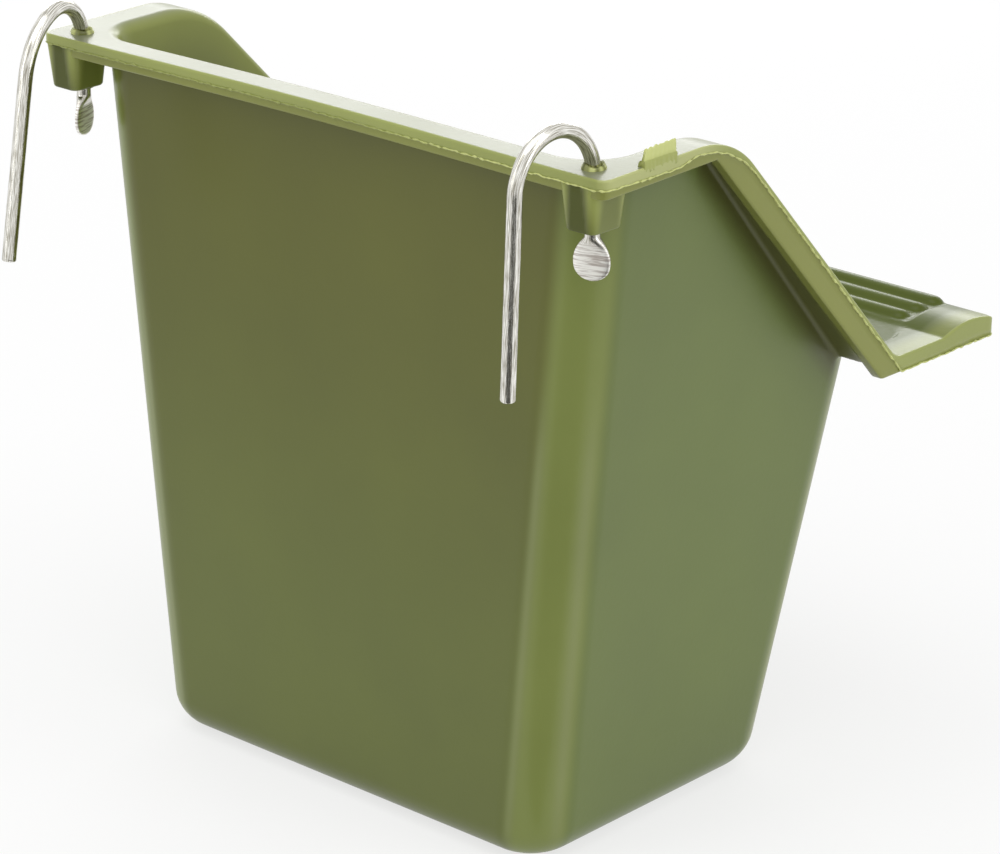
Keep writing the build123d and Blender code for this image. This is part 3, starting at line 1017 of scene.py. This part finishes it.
def newMaterial(name):
    material = bpy.data.materials.new(name)
    material.use_nodes = True
    return material, material.node_tree, material.node_tree.nodes["Principled BSDF"]


def noise(tree, vector, scale, detail):
    node = addNode(tree, "ShaderNodeTexNoise", {"Vector": vector, "Scale": scale, "Detail": detail})
    return node.outputs["Fac"]


def mapRange(tree, value, before, after):
    node = addNode(tree, "ShaderNodeMapRange", {
        "Value": value,
        "From Min": before[0],
        "From Max": before[1],
        "To Min": after[0],
        "To Max": after[1],
    })
    return node.outputs["Result"]


def mixColours(tree, share, first, second):
    node = addNode(tree, "ShaderNodeMix", {"Factor": share, "A": first, "B": second}, data_type="RGBA")
    return node.outputs["Result"]


def bump(tree, height, relief):
    inputs = {"Height": height, "Strength": relief[0], "Distance": relief[1]}
    return addNode(tree, "ShaderNodeBump", inputs)


def olivePlastic():
    # Moulded polypropylene: a soft sheen over wavy walls, with cloudy colour.
    material, tree, shader = newMaterial("olivePlastic")
    place = addNode(tree, "ShaderNodeTexCoord").outputs["Object"]
    tint = addNode(tree, "ShaderNodeAttribute", attribute_name="tint").outputs["Vector"]
    look = plasticLook
    cloud = noise(tree, place, look.cloudScale, 3.0)
    wave = noise(tree, place, look.waveScale, 1.0)
    grain = noise(tree, place, look.grainScale, 2.0)
    lift = mapRange(tree, cloud, (0.0, 1.0), look.clouding)
    clouded = addNode(tree, "ShaderNodeVectorMath", {0: tint, "Scale": lift}, operation="SCALE")
    broad = bump(tree, wave, look.waves)
    fine = bump(tree, grain, look.grain)
    connect(tree, fine, {"Normal": broad.outputs["Normal"]})
    # The darkest colours are the sheltered places, which have next to nothing to mirror.
    dark = addNode(tree, "ShaderNodeVectorMath", {0: tint}, operation="LENGTH")
    connect(tree, shader, {
        "Base Color": clouded.outputs["Vector"],
        "Roughness": mapRange(tree, cloud, (0.0, 1.0), look.roughness),
        "Normal": fine.outputs["Normal"],
        "Specular IOR Level": mapRange(tree, dark.outputs["Value"], look.darkest, look.gloss),
        "IOR": look.refraction,
    })
    return material


wireLook = SimpleNamespace(
    # darker colour of the streaks along the wire: drawing marks, with painted dark reflections
    darkStreakAndReflection=(0.34, 0.32, 0.26, 1.0),
    bright=(0.93, 0.92, 0.87, 1.0),
    fileMark=(0.5, 0.45, 0.41, 1.0),
    streakStretch=(5.0, 5.0, 0.25),      # round the wire, and along it
    streakScale=2.0,
    streakRange=(0.38, 0.62),
    markStretch=(300.0, 300.0, 6500.0),
    markRange=(0.5, 0.62),
    roughness=(0.08, 0.22),
    beatenRoughness=0.3,     # more on the flattened spade
    relief=(0.35, 0.00006),  # strength, and depth in metres
)


def brightWire():
    # Drawn steel wire: fine streaks along it, whose darker colour stands for drawing marks and
    # for painted dark reflections, and coarse dark file marks across the spade.
    material, tree, shader = newMaterial("brightWire")
    along = addNode(tree, "ShaderNodeAttribute", attribute_name="alongWire").outputs["Vector"]
    place = addNode(tree, "ShaderNodeTexCoord").outputs["Object"]
    beaten = addNode(tree, "ShaderNodeAttribute", attribute_name="beaten").outputs["Fac"]
    look = wireLook
    drawn = addNode(tree, "ShaderNodeMapping", {"Vector": along, "Scale": look.streakStretch})
    streak = noise(tree, drawn.outputs["Vector"], look.streakScale, 5.0)
    filed = addNode(tree, "ShaderNodeMapping", {"Vector": place, "Scale": look.markStretch})
    mark = noise(tree, filed.outputs["Vector"], 1.0, 3.0)
    cut = mapRange(tree, mark, look.markRange, (0.0, 1.0))
    onSpade = calculate(tree, "MULTIPLY", cut, beaten)
    drawnBright = mapRange(tree, streak, look.streakRange, (0.0, 1.0))
    bright = calculate(tree, "MAXIMUM", drawnBright, beaten)
    clean = mixColours(tree, bright, look.darkStreakAndReflection, look.bright)
    rough = mapRange(tree, streak, (0.0, 1.0), look.roughness)
    height = addNode(tree, "ShaderNodeMix", {"Factor": beaten, "A": streak, "B": mark})
    connect(tree, shader, {
        "Metallic": 1.0,
        "Base Color": mixColours(tree, onSpade, clean, look.fileMark),
        "Roughness": calculate(tree, "MULTIPLY_ADD", beaten, look.beatenRoughness, rough),
        "Normal": bump(tree, height.outputs["Result"], look.relief).outputs["Normal"],
    })
    return material


# Floor, light and camera
studio = SimpleNamespace(
    floorSize=6000.0,
    floorColour=(0.9, 0.9, 0.9, 1.0),
    floorRoughness=0.9,
    surround=0.62,           # strength of the room's light on the object
    floorGlow=0.72,          # share of plain white in the floor that the camera sees
    lamps={
        # azimuth, elevation, distance, width, height, strength as the lamp's own brightness
        "overheadBox": (200.0, 78.0, 700.0, 700.0, 500.0, 1.6),
        "behindBox": (41.5, 19.5, 900.0, 900.0, 240.0, 3.75),
        "leftBox": (160.0, 30.0, 800.0, 260.0, 700.0, 1.4),
        "rightBox": (285.0, 25.0, 800.0, 260.0, 700.0, 1.8),
    },
)
card = SimpleNamespace(
    azimuth=221.5,           # towards the camera
    halfAngle=32.0,
    near=(-36.0, 24.0),      # x and y of its tip, by the cup's near corner
    length=600.0,
    height=0.5,
    colour=(0.12, 0.12, 0.11, 1.0),
)
camera = SimpleNamespace(
    azimuth=221.48,
    elevation=20.64,
    roll=0.706,
    place=(-312.59, 346.29, 219.20),
    focalPixels=3944.84,
    pictureWidth=1000,
    sensorWidth=36.0,
)


def sheet(name, corners, material):
    # One flat face with the given corners.
    mesh = bpy.data.meshes.new(name)
    mesh.from_pydata([Vector(corner) * millimetre for corner in corners], [], [range(len(corners))])
    mesh.materials.append(material)
    return newObject(name, mesh)


def buildFloor():
    # Nearly white to the camera and in gloss, but a plain pale surface to all other light, so
    # that the cup's shadow still shows on it.
    half = studio.floorSize / 2
    material, tree, shader = newMaterial("paleFloor")
    floor = sheet("floor", [(-half, -half, 0), (half, -half, 0), (half, half, 0), (-half, half, 0)], material)
    connect(tree, shader, {
        "Base Color": studio.floorColour,
        "Roughness": studio.floorRoughness,
        "Specular IOR Level": 0.0,
    })
    glow = addNode(tree, "ShaderNodeEmission", {"Color": (1.0, 1.0, 1.0, 1.0), "Strength": 1.0})
    mixed = addNode(tree, "ShaderNodeMixShader", {
        "Fac": seenDirectly(tree, studio.floorGlow),
        1: shader.outputs["BSDF"],
        2: glow.outputs["Emission"],
    })
    connect(tree, tree.nodes["Material Output"], {"Surface": mixed.outputs["Shader"]})


def seenDirectly(tree, amount):
    # The given amount on rays from the camera, off gloss and through clear things, else 0.
    rays = addNode(tree, "ShaderNodeLightPath").outputs
    seen = calculate(tree, "MAXIMUM", rays["Is Camera Ray"], rays["Is Glossy Ray"])
    seen = calculate(tree, "MAXIMUM", seen, rays["Is Transmission Ray"])
    return calculate(tree, "MULTIPLY", seen, amount)


def buildLight():
    world = bpy.data.worlds.new("studioRoom")
    bpy.context.scene.world = world
    world.use_nodes = True
    tree = world.node_tree
    extra = seenDirectly(tree, 1.0 - studio.surround)
    connect(tree, tree.nodes["Background"], {
        "Color": (1.0, 1.0, 1.0, 1.0),
        "Strength": calculate(tree, "ADD", extra, studio.surround),
    })
    target = Vector((0.0, 0.0, rimTop / 2)) * millimetre
    for name, (azimuth, elevation, distance, width, height, brightness) in studio.lamps.items():
        back = towards(azimuth, elevation)
        light = bpy.data.lights.new(name, "AREA")
        light.shape = "RECTANGLE"
        light.size = width * millimetre
        light.size_y = height * millimetre
        light.energy = brightness * light.size * light.size_y * math.pi
        lamp = newObject(name, light)
        lamp.location = target + back * distance * millimetre
        lamp.rotation_euler = back.to_track_quat("Z", "Y").to_euler()
        lamp.visible_camera = False


def buildCard():
    # A dark grey card on the floor in front of the cup, a wedge with its tip at the near corner.
    # Only gloss shows it: it draws the dark line down each bright wire, and keeps the middle
    # of the near corner deep green between two paler bands.
    material, tree, shader = newMaterial("greyCard")
    connect(tree, shader, {"Base Color": card.colour, "Specular IOR Level": 0.0})
    tip = Vector((*card.near, card.height))
    corners = [tip]
    for side in (-1, 1):
        corners.append(tip + card.length * towards(card.azimuth + side * card.halfAngle, 0.0))
    piece = sheet("greyCard", corners, material)
    piece.visible_camera = False
    piece.visible_diffuse = False
    piece.visible_shadow = False


def buildCamera():
    # The camera's own axes from its azimuth, elevation and roll.
    turn, roll = math.radians(camera.azimuth), math.radians(camera.roll)
    back = towards(camera.azimuth, camera.elevation)
    level = Vector((math.cos(turn), math.sin(turn), 0.0))
    upright = back.cross(level)
    right = math.cos(roll) * level + math.sin(roll) * upright
    up = math.cos(roll) * upright - math.sin(roll) * level
    data = bpy.data.cameras.new("photoCamera")
    data.sensor_width = camera.sensorWidth
    data.lens = camera.focalPixels / camera.pictureWidth * camera.sensorWidth
    data.clip_start = 0.01
    data.clip_end = 20.0
    view = newObject("photoCamera", data)
    turned = Matrix([right, up, back]).transposed().to_4x4()
    view.matrix_world = Matrix.Translation(Vector(camera.place) * millimetre) @ turned
    bpy.context.scene.camera = view


def dress(pieces, material):
    for piece in pieces:
        piece.data.materials.clear()
        piece.data.materials.append(material)


buildCamera()
buildFloor()
buildLight()
buildCard()
bpy.context.scene.view_settings.view_transform = "Standard"
print("stage 2: camera, floor and light")

hooks = {"left": leftHook, "right": rightHook}
plasticPieces = [buildCup(), buildFlash()]
plasticPieces += [buildBoss(hook, side + "Boss") for side, hook in hooks.items()]
plasticPieces += [buildCollar(hook, side + "Collar") for side, hook in hooks.items()]
plasticPieces.append(buildGate())
print("stage 3: the plastic moulding")

wirePieces = [
    buildHook(hook, side + "HookWire", side + "_hook_body", side + "_hook")
    for side, hook in hooks.items()
]
print("stage 4: the wire hooks")

dress(plasticPieces, olivePlastic())
dress(wirePieces, brightWire())
print("stage 5: materials")
